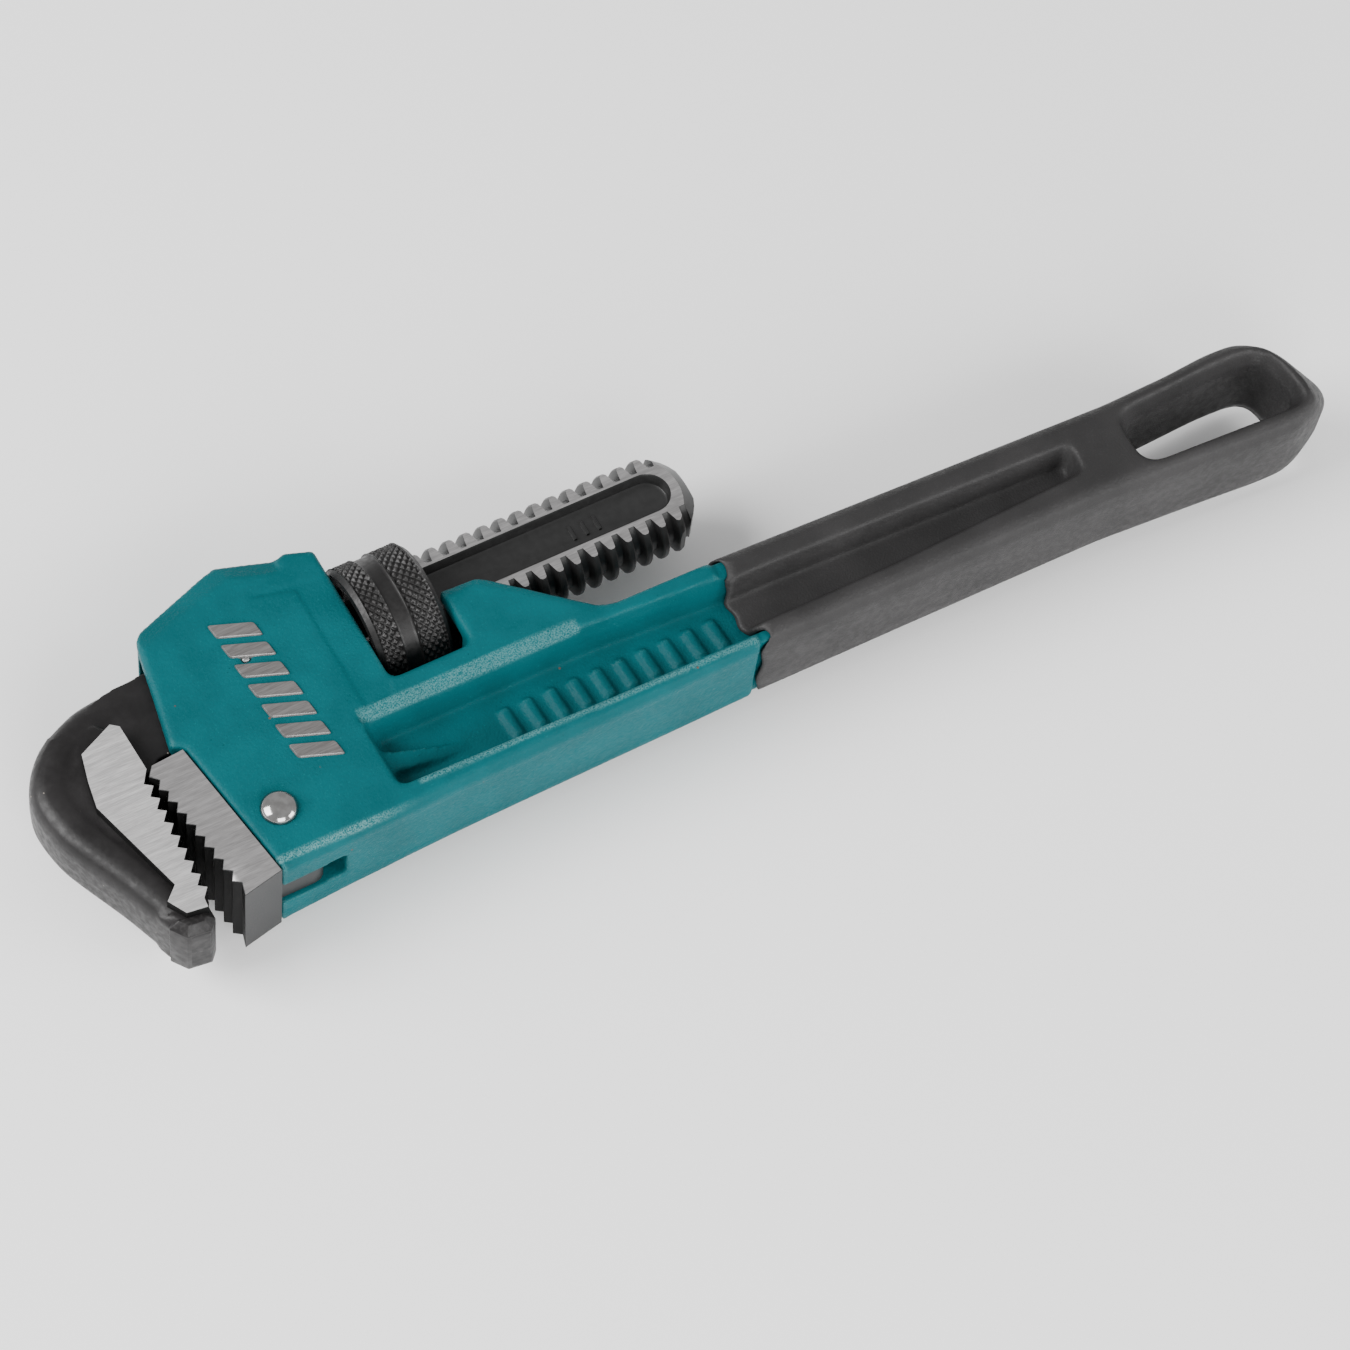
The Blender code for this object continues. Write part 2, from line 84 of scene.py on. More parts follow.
def rounded(points, radius, steps):
    """The outline with each corner replaced by a short curve."""
    out = []
    count = len(points)
    for i, (x, y) in enumerate(points):
        ax, ay = points[i - 1][0] - x, points[i - 1][1] - y
        bx, by = points[(i + 1) % count][0] - x, points[(i + 1) % count][1] - y
        la, lb = math.hypot(ax, ay), math.hypot(bx, by)
        back = min(radius, la * 0.45, lb * 0.45)
        p = (x + ax / la * back, y + ay / la * back)
        q = (x + bx / lb * back, y + by / lb * back)
        for k in range(steps + 1):
            t = k / steps
            u, v, w = (1 - t) ** 2, 2 * t * (1 - t), t * t
            out.append((u * p[0] + v * x + w * q[0], u * p[1] + v * y + w * q[1]))
    return out


def area(points):
    """The outline's area, positive when it runs anticlockwise."""
    total = 0.0
    for i, (x, y) in enumerate(points):
        total += points[i - 1][0] * y - x * points[i - 1][1]
    return total / 2


def inset(points, distance):
    """The outline moved inward by the distance, or outward if it is negative."""
    side = 1.0 if area(points) > 0 else -1.0
    count = len(points)
    out = []
    for i, (x, y) in enumerate(points):
        ax, ay = x - points[i - 1][0], y - points[i - 1][1]
        bx, by = points[(i + 1) % count][0] - x, points[(i + 1) % count][1] - y
        la, lb = math.hypot(ax, ay), math.hypot(bx, by)
        nx = -(ay / la + by / lb) * side
        ny = (ax / la + bx / lb) * side
        size = math.hypot(nx, ny)
        step = distance / max(0.5, size / 2)
        out.append((x + nx / size * step, y + ny / size * step))
    return out


def loft(bm, rings):
    """Join rings of vertices, each to the next, and close both ends."""
    for low, high in zip(rings, rings[1:]):
        for k in range(len(low)):
            bm.faces.new((low[k - 1], low[k], high[k], high[k - 1]))
    bm.faces.new(rings[0])
    bm.faces.new(rings[-1])


def stack_into(bm, layers):
    """A solid through outlines that lie at different heights: (outline, z) pairs."""
    loft(bm, [[bm.verts.new(world(x, y, z)) for x, y in outline] for outline, z in layers])


def stack(name, layers):
    bm = bmesh.new()
    stack_into(bm, layers)
    return make(name, bm)


def prism(name, outline, z0, z1):
    return stack(name, [(outline, z0), (outline, z1)])


def revolve(name, axis, origin, profile, count):
    """A turned solid: the profile holds (distance along the axis, radius) pairs."""
    bm = bmesh.new()
    rings = []
    for along, radius in profile:
        ring = []
        for k in range(count):
            a = 2 * math.pi * k / count
            c, s = radius * math.cos(a), radius * math.sin(a)
            offset = {"x": (along, c, s), "y": (c, along, s), "z": (c, s, along)}[axis]
            ring.append(bm.verts.new(world(*[o + d for o, d in zip(origin, offset)])))
        rings.append(ring)
    loft(bm, rings)
    return make(name, bm)


def copy_node(node, name):
    """The mesh of a node of the frame, as a new object with its seams closed."""
    source = frame["nodes"][node]
    mesh = source.data.copy()
    mesh.name = name
    mesh.transform(source.matrix_world)
    mesh.materials.clear()
    bm = bmesh.new()
    bm.from_mesh(mesh)
    bmesh.ops.remove_doubles(bm, verts=bm.verts, dist=0.002 * MM)
    bm.to_mesh(mesh)
    bm.free()
    return add_object(name, mesh)


def merge(name, objs):
    """One mesh with every shell of the objects in it; the objects are removed."""
    bm = bmesh.new()
    for obj in objs:
        bm.from_mesh(obj.data)
        bpy.data.objects.remove(obj, do_unlink=True)
    mesh = bpy.data.meshes.new(name)
    bm.to_mesh(mesh)
    bm.free()
    return add_object(name, mesh)


def bake_modifiers(obj):
    """Replace the object's mesh by what its modifiers make of it."""
    bpy.context.view_layer.update()
    graph = bpy.context.evaluated_depsgraph_get()
    mesh = bpy.data.meshes.new_from_object(obj.evaluated_get(graph))
    obj.modifiers.clear()
    old = obj.data
    obj.data = mesh
    bpy.data.meshes.remove(old)


def boolean(obj, other, operation="DIFFERENCE"):
    """Cut the object with another, or join them; the other one is removed."""
    mod = obj.modifiers.new("cut", "BOOLEAN")
    mod.operation = operation
    mod.solver = "EXACT"
    mod.object = other
    bake_modifiers(obj)
    bpy.data.objects.remove(other, do_unlink=True)


def bevel(obj, width, segments, degrees):
    """Round the edges that are sharper than the angle."""
    mod = obj.modifiers.new("edge", "BEVEL")
    mod.width = width * MM
    mod.segments = segments
    mod.limit_method = "ANGLE"
    mod.angle_limit = math.radians(degrees)
    bake_modifiers(obj)


def clip_x(obj, x, keep_low):
    """Keep the side of the plane at x (mm) that is asked for, and close the cut."""
    bm = bmesh.new()
    bm.from_mesh(obj.data)
    geom = list(bm.verts) + list(bm.edges) + list(bm.faces)
    cut = bmesh.ops.bisect_plane(
        bm, geom=geom, plane_co=world(x, 0, 0), plane_no=(1, 0, 0),
        clear_outer=keep_low, clear_inner=not keep_low)
    edges = [e for e in cut["geom_cut"] if isinstance(e, bmesh.types.BMEdge)]
    bmesh.ops.triangle_fill(bm, edges=edges, use_beauty=True)
    bmesh.ops.recalc_face_normals(bm, faces=bm.faces)
    bm.to_mesh(obj.data)
    bm.free()
    return obj


def remesh(obj, size, smooth):
    """One skin over every shell of the mesh, softened by rounds of smoothing."""
    mod = obj.modifiers.new("voxels", "REMESH")
    mod.mode = "VOXEL"
    mod.voxel_size = size * MM
    mod.use_smooth_shade = True
    mod = obj.modifiers.new("soften", "SMOOTH")
    mod.factor = 0.5
    mod.iterations = smooth
    bake_modifiers(obj)


def shade(obj, degrees=None):
    """Smooth shading, with edges sharper than the angle kept crisp."""
    obj.data.polygons.foreach_set("use_smooth", [True] * len(obj.data.polygons))
    if degrees is not None:
        obj.data.set_sharp_from_angle(angle=math.radians(degrees))
    obj.data.update()


def coords(obj):
    """Vertex positions in mm in the working axes."""
    flat = np.empty(len(obj.data.vertices) * 3, dtype=np.float32)
    obj.data.vertices.foreach_get("co", flat)
    return (flat.reshape(-1, 3).astype(float) - np.array(ORIGIN)) / MM


def set_coords(obj, points):
    """Put the vertices at positions in mm in the working axes."""
    flat = (points * MM + np.array(ORIGIN)).astype(np.float32).ravel()
    obj.data.vertices.foreach_set("co", flat)
    obj.data.update()


def normals(obj):
    flat = np.empty(len(obj.data.vertices) * 3, dtype=np.float32)
    obj.data.vertex_normals.foreach_get("vector", flat)
    return flat.reshape(-1, 3).astype(float)


def attribute(obj, name, values):
    """A number for each vertex, which a material reads by its name."""
    data = obj.data.attributes.new(name, "FLOAT", "POINT")
    data.data.foreach_set("value", np.asarray(values, dtype=np.float32))


def smoothstep(low, high, value):
    """From 0 at low to 1 at high, also when low is the larger of the two."""
    t = np.clip((value - low) / (high - low), 0.0, 1.0)
    return t * t * (3 - 2 * t)


def segment_distance(p, a, b):
    """How far each point is from the segment between a and b."""
    a, b = np.array(a, float), np.array(b, float)
    d = b - a
    t = np.clip(((p - a) @ d) / (d @ d), 0, 1)
    return np.linalg.norm(p - (a + t[:, None] * d), axis=1)


def line_distance(p, line):
    best = np.full(len(p), 1e9)
    for a, b in zip(line, line[1:]):
        best = np.minimum(best, segment_distance(p, a, b))
    return best


def convexity(obj):
    """Positive on convex edges, negative in corners, in mm, spread over a few edges."""
    points = coords(obj)
    ends = np.empty(len(obj.data.edges) * 2, dtype=np.int32)
    obj.data.edges.foreach_get("vertices", ends)
    ends = ends.reshape(-1, 2)
    count = np.zeros(len(points))
    for side in (0, 1):
        np.add.at(count, ends[:, side], 1)
    spread = points.copy()
    for _ in range(4):
        total = np.zeros_like(points)
        for side in (0, 1):
            np.add.at(total, ends[:, side], spread[ends[:, 1 - side]])
        spread = total / np.maximum(count, 1)[:, None]
    return np.einsum("ij,ij->i", points - spread, normals(obj))


# ---------------------------------------------------------------- materials
class Nodes:
    """A shorthand for a material's node tree. Sizes are in mm."""

    def __init__(self, name):
        self.mat = bpy.data.materials.new(name)
        self.mat.use_nodes = True
        self.tree = self.mat.node_tree
        self.shader = self.tree.nodes["Principled BSDF"]
        self.position = self.node("ShaderNodeTexCoord").outputs["Object"]

    def node(self, kind, **settings):
        node = self.tree.nodes.new(kind)
        for key, value in settings.items():
            setattr(node, key, value)
        return node

    def link(self, value, socket):
        if isinstance(value, bpy.types.NodeSocket):
            self.tree.links.new(value, socket)
        elif value is not None:
            socket.default_value = value

    def stretched(self, scale, rotation=(0, 0, 0)):
        """Coordinates drawn out along one direction, for brushed lines."""
        node = self.node("ShaderNodeMapping")
        self.link(self.position, node.inputs["Vector"])
        node.inputs["Scale"].default_value = scale
        node.inputs["Rotation"].default_value = rotation
        return node.outputs["Vector"]

    def noise(self, size_mm, detail=2.0, roughness=0.5, vector=None):
        node = self.node("ShaderNodeTexNoise")
        self.link(vector or self.position, node.inputs["Vector"])
        node.inputs["Scale"].default_value = 1 / (size_mm * MM)
        node.inputs["Detail"].default_value = detail
        node.inputs["Roughness"].default_value = roughness
        return node.outputs["Fac"]

    def voronoi(self, size_mm):
        node = self.node("ShaderNodeTexVoronoi")
        self.link(self.position, node.inputs["Vector"])
        node.inputs["Scale"].default_value = 1 / (size_mm * MM)
        return node.outputs["Distance"]

    def attribute(self, name):
        return self.node("ShaderNodeAttribute", attribute_name=name).outputs["Fac"]

    def math(self, operation, a, b):
        node = self.node("ShaderNodeMath", operation=operation)
        self.link(a, node.inputs[0])
        self.link(b, node.inputs[1])
        return node.outputs[0]

    def step(self, value, low, high, to_low=0.0, to_high=1.0):
        """A soft step: to_low where the value is under low, to_high where it is over high."""
        node = self.node("ShaderNodeMapRange", interpolation_type="SMOOTHSTEP")
        for socket, v in zip(node.inputs[:5], (value, low, high, to_low, to_high)):
            self.link(v, socket)
        return node.outputs[0]

    def mix(self, share, a, b):
        """Colour a where the share is 0, colour b where it is 1."""
        node = self.node("ShaderNodeMix", data_type="RGBA")
        self.link(share, node.inputs[0])
        for value, socket in ((a, node.inputs[6]), (b, node.inputs[7])):
            self.link((*value, 1.0) if isinstance(value, tuple) else value, socket)
        return node.outputs[2]

    def bump(self, height, strength, distance_mm, normal=None):
        node = self.node("ShaderNodeBump")
        self.link(height, node.inputs["Height"])
        node.inputs["Strength"].default_value = strength
        node.inputs["Distance"].default_value = distance_mm * MM
        self.link(normal, node.inputs["Normal"])
        return node.outputs["Normal"]

    def finish(self, colour, metallic, roughness, normal=None, specular=0.5):
        self.link(colour, self.shader.inputs["Base Color"])
        self.link(metallic, self.shader.inputs["Metallic"])
        self.link(roughness, self.shader.inputs["Roughness"])
        self.link(normal, self.shader.inputs["Normal"])
        self.shader.inputs["Specular IOR Level"].default_value = specular
        return self.mat


def enamel():
    """Teal paint over a sand-cast skin, bright where edges are rubbed."""
    n = Nodes("teal_enamel")
    drift = n.noise(9.0, 3.0)
    base = n.mix(n.step(drift, 0.3, 0.7), (0.0, 0.070, 0.081), (0.0, 0.084, 0.097))
    grain = n.noise(0.35, 3.0, 0.6)
    base = n.mix(n.step(grain, 0.62, 0.74, 0.0, 0.35), base, (0.01, 0.18, 0.19))
    # Rubbed edges: thin paint that shows a paler, speckled teal
    fleck = n.noise(0.27, 3.0, 0.7)
    rub = n.math("MULTIPLY", n.attribute("rub"), n.step(fleck, 0.40, 0.56))
    base = n.mix(n.math("MULTIPLY", rub, 0.75), base, (0.14, 0.31, 0.31))
    # Painted shade: the inner corners are darkened, broken up by noise
    corner_shade = n.math("MULTIPLY", n.attribute("nook"), n.step(n.noise(1.6, 3.0), 0.35, 0.65))
    base = n.mix(n.math("MULTIPLY", corner_shade, 0.2), base, (0.0, 0.042, 0.048))
    # A few brown and dark specks
    spot = n.step(n.voronoi(4.2), 0.045, 0.075, 1.0, 0.0)
    gate = n.step(n.noise(7.0, 1.0), 0.55, 0.60)
    base = n.mix(n.math("MULTIPLY", spot, gate), base, (0.10, 0.06, 0.045))
    spot = n.step(n.voronoi(2.1), 0.05, 0.09, 1.0, 0.0)
    gate = n.step(n.noise(3.1, 1.0), 0.50, 0.58)
    base = n.mix(n.math("MULTIPLY", n.math("MULTIPLY", spot, gate), 0.55), base,
                 (0.0, 0.035, 0.04))
    rough = n.step(n.noise(0.8, 3.0), 0.3, 0.7, 0.36, 0.50)
    normal = n.bump(n.noise(0.55, 4.0, 0.62), 0.95, 0.16)
    normal = n.bump(n.noise(2.6, 3.0), 0.35, 0.22, normal)
    normal = n.bump(rub, 0.5, 0.05, normal)
    return n.finish(base, 0.0, rough, normal, 0.10)


def vinyl():
    """Dipped vinyl: near black, finely grained, softly uneven."""
    n = Nodes("black_vinyl")
    drift = n.noise(14.0, 3.0)
    base = n.mix(n.step(drift, 0.3, 0.7), (0.018, 0.0174, 0.0176), (0.025, 0.024, 0.0243))
    grain = n.noise(0.45, 3.0, 0.65)
    base = n.mix(n.step(grain, 0.55, 0.8, 0.0, 0.35), base, (0.05, 0.0485, 0.0485))
    rough = n.step(n.noise(1.5, 3.0), 0.3, 0.7, 0.42, 0.56)
    normal = n.bump(grain, 0.85, 0.14)
    normal = n.bump(n.noise(5.0, 2.0), 0.3, 0.35, normal)
    return n.finish(base, 0.0, rough, normal, 0.25)


def black_steel():
    """Blackened forging, a little nicked and rubbed."""
    n = Nodes("blackened_steel")
    drift = n.noise(6.0, 4.0)
    base = n.mix(n.step(drift, 0.3, 0.7), (0.0085, 0.0078, 0.008), (0.014, 0.013, 0.0133))
    nick = n.step(n.voronoi(3.3), 0.03, 0.06, 1.0, 0.0)
    gate = n.step(n.noise(6.0, 1.0), 0.52, 0.58)
    base = n.mix(n.math("MULTIPLY", nick, gate), base, (0.26, 0.23, 0.20))
    rub = n.math("MULTIPLY", n.attribute("rub"), n.step(n.noise(0.6, 3.0), 0.45, 0.62))
    base = n.mix(n.math("MULTIPLY", rub, 0.55), base, (0.14, 0.135, 0.135))
    rough = n.step(n.noise(1.2, 3.0), 0.3, 0.7, 0.34, 0.50)
    normal = n.bump(n.noise(0.7, 3.0), 0.3, 0.07)
    normal = n.bump(n.noise(4.0, 2.0), 0.3, 0.22, normal)
    return n.finish(base, 0.0, rough, normal, 0.24)


def ground_steel(name, angle, dark, light):
    """Surface-ground steel, its scratches running at the angle in the XY plane."""
    n = Nodes(name)
    along = n.stretched((0.05, 1.0, 1.0), (0, 0, math.radians(-angle)))
    fine = n.noise(0.16, 3.0, 0.7, along)
    wide = n.noise(0.9, 2.0, 0.5, along)
    line = n.math("ADD", n.math("MULTIPLY", fine, 0.65), n.math("MULTIPLY", wide, 0.35))
    base = n.mix(n.step(line, 0.34, 0.66), dark, light)
    rough = n.step(line, 0.3, 0.7, 0.32, 0.46)
    normal = n.bump(fine, 0.28, 0.02)
    return n.finish(base, 0.85, rough, normal)


def dark_ground():
    """Blackened steel with faint grinding lines, for the heel jaw's end and teeth."""
    n = Nodes("dark_ground_steel")
    along = n.stretched((1.0, 0.06, 1.0))
    line = n.noise(0.22, 3.0, 0.65, along)
    base = n.mix(n.step(line, 0.3, 0.7), (0.010, 0.010, 0.0103), (0.022, 0.022, 0.0228))
    return n.finish(base, 0.3, n.step(line, 0.3, 0.7, 0.34, 0.46), n.bump(line, 0.2, 0.02))


def oxide():
    """Black oxide on the knurled nut, its peaks rubbed a little."""
    n = Nodes("black_oxide")
    base = n.mix(n.step(n.noise(3.0, 3.0), 0.3, 0.7), (0.006, 0.0056, 0.0056),
                 (0.010, 0.0093, 0.0093))
    peak = n.math("MULTIPLY", n.attribute("peak"), n.step(n.noise(1.3, 3.0), 0.35, 0.65))
    base = n.mix(n.math("MULTIPLY", peak, 0.7), base, (0.055, 0.052, 0.052))
    rough = n.step(n.noise(0.9, 3.0), 0.3, 0.7, 0.38, 0.54)
    return n.finish(base, 0.3, rough, n.bump(n.noise(0.5, 3.0), 0.3, 0.05))


def polished():
    """Bright steel of the rivet."""
    n = Nodes("polished_steel")
    base = n.mix(n.step(n.noise(1.4, 2.0), 0.3, 0.7), (0.30, 0.295, 0.29), (0.40, 0.395, 0.39))
    return n.finish(base, 1.0, 0.13, n.bump(n.noise(0.8, 2.0), 0.12, 0.04))


def plain_steel(name, grey, roughness, specular=0.4):
    """Steel of one grey: bare where it is light, blackened where it is dark."""
    n = Nodes(name)
    base = n.mix(n.step(n.noise(1.5, 3.0), 0.3, 0.7), (grey * 0.8,) * 3, (grey * 1.1,) * 3)
    metallic = 0.9 if grey > 0.1 else 0.0
    return n.finish(base, metallic, roughness, n.bump(n.noise(0.5, 2.0), 0.15, 0.03), specular)


def attach(obj, body, slot, *nodes):
    """Say which body the piece moves with, and hide the nodes it stands for; the slot is not
    used.
    """
    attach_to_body(obj, body)
    if nodes:
        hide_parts(*nodes)


# ---------------------------------------------------------------- the casting
FACE_Z = 10.0
CUTTER_Z = 12.0
POCKET_FLOOR = 3.4
SLEEVE_JOIN = 62.0
BOTH_SIDES = (1, -1)


def wedge_cut(name, line, outer, sign, low):
    """A cutter that planes the face down from one line to the outer line."""
    bm = bmesh.new()
    rings = []
    for (x0, y0), (x1, y1) in zip(line, outer):
        rings.append([bm.verts.new(world(*c)) for c in (
            (x0, y0, sign * (FACE_Z + 0.02)), (x1, y1, sign * (FACE_Z - low)),
            (x1, y1, sign * CUTTER_Z), (x0, y0, sign * CUTTER_Z))])
    loft(bm, rings)
    return make(name, bm)


def bars():
    """Ten plain raised bars on each pocket floor."""
    out = []
    for sign in BOTH_SIDES:
        for k in range(10):
            x = 0.6 + 4.75 * k
            y0, y1 = -27.6 - 0.016 * x, -34.0 - 0.012 * x
            outline = rounded([(x, y0), (x + 1.9, y0), (x + 2.2, y1), (x + 0.3, y1)], 0.5, 2)
            out.append(stack("bar", [
                (inset(outline, -0.3), sign * (POCKET_FLOOR - 1.0)),
                (inset(outline, -0.15), sign * (POCKET_FLOOR + 0.35)),
                (inset(outline, 0.25), sign * (POCKET_FLOOR + 0.95))]))
    return out


def ribs():
    """The tapered rib that runs into each pocket from its front end."""
    out = []
    z = POCKET_FLOOR - 0.8
    for sign in BOTH_SIDES:
        bm = bmesh.new()
        rings = []
        for x, y_top, y_low, height in (
            (-26.0, -26.2, -31.4, 5.4), (-20.0, -27.3, -31.8, 3.4), (-7.0, -30.4, -32.6, 0.9),
        ):
            rings.append([bm.verts.new(world(*c)) for c in (
                (x, y_top, sign * z), (x, y_top - 0.4, sign * (z + height)),
                (x, y_low + 0.6, sign * (z + height * 0.8)), (x, y_low, sign * z))])
        loft(bm, rings)
        out.append(make("rib", bm))
    return out


def plane_faces(body, sign):
    """The chamfers and the sunk panel on one face of the casting."""
    roof = [(-55.2, 13.0), (-45.4, 16.3), (-36.2, 19.4), (-32.7, 20.5), (-27.3, 18.6),
            (-22.3, 16.9)]
    ridge = [(-52.6, 8.8), (-43.1, 12.5), (-34.9, 14.9), (-31.8, 15.7), (-26.2, 13.6),
             (-22.3, 12.8)]
    boolean(body, wedge_cut("roof_cut", ridge, roof, sign, 1.6))
    ear = [(0.0, -2.6), (9.6, -2.8), (15.8, -8.4), (23.4, -15.4), (28.2, -19.0)]
    ear_ridge = [(0.0, -5.3), (7.6, -5.6), (12.6, -9.7), (18.7, -15.5), (22.0, -20.2)]
    boolean(body, wedge_cut("ear_cut", ear_ridge, ear, sign, 1.2))
    stripe = [(-24.6, -21.6), (20.0, -22.1)]
    stripe_top = [(-24.0, -19.2), (20.4, -19.8)]
    boolean(body, wedge_cut("stripe_cut", stripe_top, stripe, sign, 1.3))
    panel = [(-22.3, -19.6), (-22.3, 8.0), (-30.4, 10.4), (-29.8, 11.3), (-14.0, 8.6),
             (-14.0, -14.0), (-16.5, -19.2)]
    boolean(body, prism("panel_cut", panel, sign * (FACE_Z - 0.30), sign * CUTTER_Z))


def wear_and_corner_shade(body):
    """Where the paint is rubbed thin, and the inner corners that the enamel darkens as painted
    shade.
    """
    p = coords(body)
    x, y, z = p[:, 0], p[:, 1], np.abs(p[:, 2])
    curve = convexity(body)
    on_face = smoothstep(7.6, 8.8, z)
    stripe = smoothstep(1.45, 1.1, np.abs(y + 20.35 + 0.0130 * (x + 22.6))) * on_face
    stripe = stripe * smoothstep(-24.4, -23.8, x) * smoothstep(20.6, 20.0, x)
    flange = smoothstep(0.9, 0.3, line_distance(p[:, :2], [(-20.0, -37.0), (48.0, -38.4)]))
    edge = smoothstep(0.9, 0.4, np.abs(y + 40.3 + 0.012 * (x + 10.0)))
    edge = edge * smoothstep(-20.0, -36.0, x) * smoothstep(8.6, 9.4, z)
    rub = smoothstep(0.10, 0.30, curve) * 0.35 + stripe * 0.5 + flange * on_face * 0.6
    attribute(body, "rub", np.clip(rub + edge * 0.8, 0, 1))
    # The inner corners, which the enamel darkens as painted shade
    attribute(body, "nook", smoothstep(-0.06, -0.30, curve))


def casting():
    """The housing, the ears and the front of the handle."""
    body = clip_x(copy_node("handle_body", "body_casting"), SLEEVE_JOIN, keep_low=True)
    for sign in BOTH_SIDES:
        plane_faces(body, sign)
    body = merge("body_casting", [body] + bars() + ribs())
    remesh(body, 0.48, smooth=2)
    # Smoothing draws the skin in by about this much; the spring passage is left as it is
    p = coords(body)
    grow = 0.10 * smoothstep(5.8, 7.5, np.abs(p[:, 2]))
    set_coords(body, p + grow[:, None] * normals(body))
    wear_and_corner_shade(body)
    body.data.materials.append(ENAMEL)
    attach(body, "handle", "enamelled_casting", "handle_body")


def casting_core():
    """The hidden rear of the casting, which stands a little further inside the sleeve."""
    core = clip_x(copy_node("handle_body", "body_core"), SLEEVE_JOIN + 0.3, keep_low=False)
    shade(core)
    p = coords(core) - 0.55 * normals(core)
    p[:, 0] -= END_PULL * end_share(p)
    set_coords(core, p)
    attribute(core, "rub", np.zeros(len(p)))
    attribute(core, "nook", np.zeros(len(p)))
    core.data.materials.append(ENAMEL)
    attach(core, "handle", "enamelled_casting", "handle_body")


def emblem():
    """Raised bars ground bare, slanted across the housing: a plain pattern, not letters."""
    bm = bmesh.new()
    for sign in BOTH_SIDES:
        for k in range(7):
            x = -36.3 + 0.30 * k
            y = 7.6 - 4.75 * k
            outline = [(x - 3.4, y + 0.9), (x + 4.4, y - 2.1), (x + 4.8, y - 5.2),
                       (x - 3.0, y - 2.2)]
            outline = rounded(outline, 0.5, 2)
            stack_into(bm, [(inset(outline, -0.25), sign * 9.5), (outline, sign * 10.35),
                            (inset(outline, 0.12), sign * 10.5)])
    obj = make("emblem_bars", bm)
    obj.data.materials.append(EMBLEM_STEEL)
    shade(obj, 40)
    attach(obj, "handle", "ground_steel")


# ---------------------------------------------------------------- the jaws
SHANK_FLAT_Z = 5.73
PAD_Z = 9.2
TEETH = 9
TOOTH_PITCH = 2.78
TOOTH_DEPTH = 1.4
TOOTH_START = (-62.22, -15.1)
TOOTH_LEAN = -0.025
TOOTH_TIP = 0.37
# The rim lies this far forward of HOOK_BACK
RIM_SHIFT = -0.75


def tooth_row():
    """Saw teeth down the pad's edge: each tip lies TOOTH_TIP of a pitch below its root."""
    x, y = TOOTH_START
    out = []
    for k in range(TEETH):
        root = TOOTH_PITCH * k
        tip = TOOTH_PITCH * (k + TOOTH_TIP)
        out.append((x - TOOTH_DEPTH + TOOTH_LEAN * root, y - root))
        out.append((x + TOOTH_LEAN * tip, y - tip))
    root = TOOTH_PITCH * TEETH
    out.append((x - TOOTH_DEPTH + TOOTH_LEAN * root, y - root))
    return out


def face_materials(obj, flat_z, steel, other, tooth=None):
    """Ground steel on the flat faces at |z| = flat_z, dark steel on teeth, other elsewhere."""
    obj.data.materials.append(other)
    obj.data.materials.append(steel)
    if tooth:
        obj.data.materials.append(tooth)
    tooth_end = world(-57.0, 0, 0).x
    for poly in obj.data.polygons:
        if tooth and abs(poly.normal.z) < 0.5 and poly.center.x < tooth_end:
            poly.material_index = 2 if abs(poly.normal.x) > 0.25 else 0
        z = abs((poly.center - ORIGIN).z / MM)
        if abs(poly.normal.z) > 0.97 and abs(z - flat_z) < 0.12:
            poly.material_index = 1


# The hook's outer outline, from the neck round to the nose
HOOK_BACK = [
    (-45.5, 7.9), (-54.0, 7.8), (-60.4, 7.45), (-64.4, 6.85), (-68.3, 5.7), (-74.1, 2.8),
    (-77.25, 0.25), (-79.7, -3.0), (-81.4, -6.8), (-81.7, -11.0), (-80.7, -16.9),
    (-78.9, -21.7), (-76.8, -26.4), (-74.7, -31.2), (-72.8, -36.2), (-71.0, -40.9),
    (-69.2, -43.8),
]


def curve_through(points, steps=4):
    """Points on a smooth Catmull-Rom curve through the given ones."""
    out = []
    last = len(points) - 1
    for i in range(last):
        p0, p1 = points[max(0, i - 1)], points[i]
        p2, p3 = points[i + 1], points[min(last, i + 2)]
        for k in range(steps):
            t = k / steps
            out.append(tuple(
                0.5 * (2 * b + (c - a) * t + (2 * a - 5 * b + 4 * c - d) * t * t
                       + (3 * b - a - 3 * c + d) * t ** 3)
                for a, b, c, d in zip(p0, p1, p2, p3)))
    out.append(points[last])
    return out


def hook_rim():
    """The domed rim: a broad rounded section swept just inside the hook's outline."""
    line = curve_through(HOOK_BACK)
    around = 28
    half_width = 4.4
    neck_height, nose_height = 5.71, 7.51
    bm = bmesh.new()
    rings = []
    for i, (x, y) in enumerate(line):
        before = line[max(0, i - 1)]
        after = line[min(len(line) - 1, i + 1)]
        dx, dy = after[0] - before[0], after[1] - before[1]
        size = math.hypot(dx, dy)
        nx, ny = -dy / size, dx / size
        share = min(1.0, max(0.0, (i - 5) / 18))
        share = share * share * (3 - 2 * share)
        height = neck_height + (nose_height - neck_height) * share
        ring = []
        for k in range(around):
            angle = 2 * math.pi * k / around
            c, d = math.cos(angle), math.sin(angle)
            u = half_width * (1.0 + math.copysign(abs(c) ** 0.9, c))
            v = height * math.copysign(abs(d) ** 0.45, d)
            ring.append(bm.verts.new(world(x + RIM_SHIFT + nx * u, y + ny * u, v)))
        rings.append(ring)
    loft(bm, rings)
    return make("rim", bm)


def chamfered(name, outline, half_z, edge_z, step):
    """A plate through z = 0 whose two faces are drawn in at their edges."""
    small = inset(outline, step)
    return stack(name, [(small, -half_z), (outline, -edge_z), (outline, edge_z), (small, half_z)])


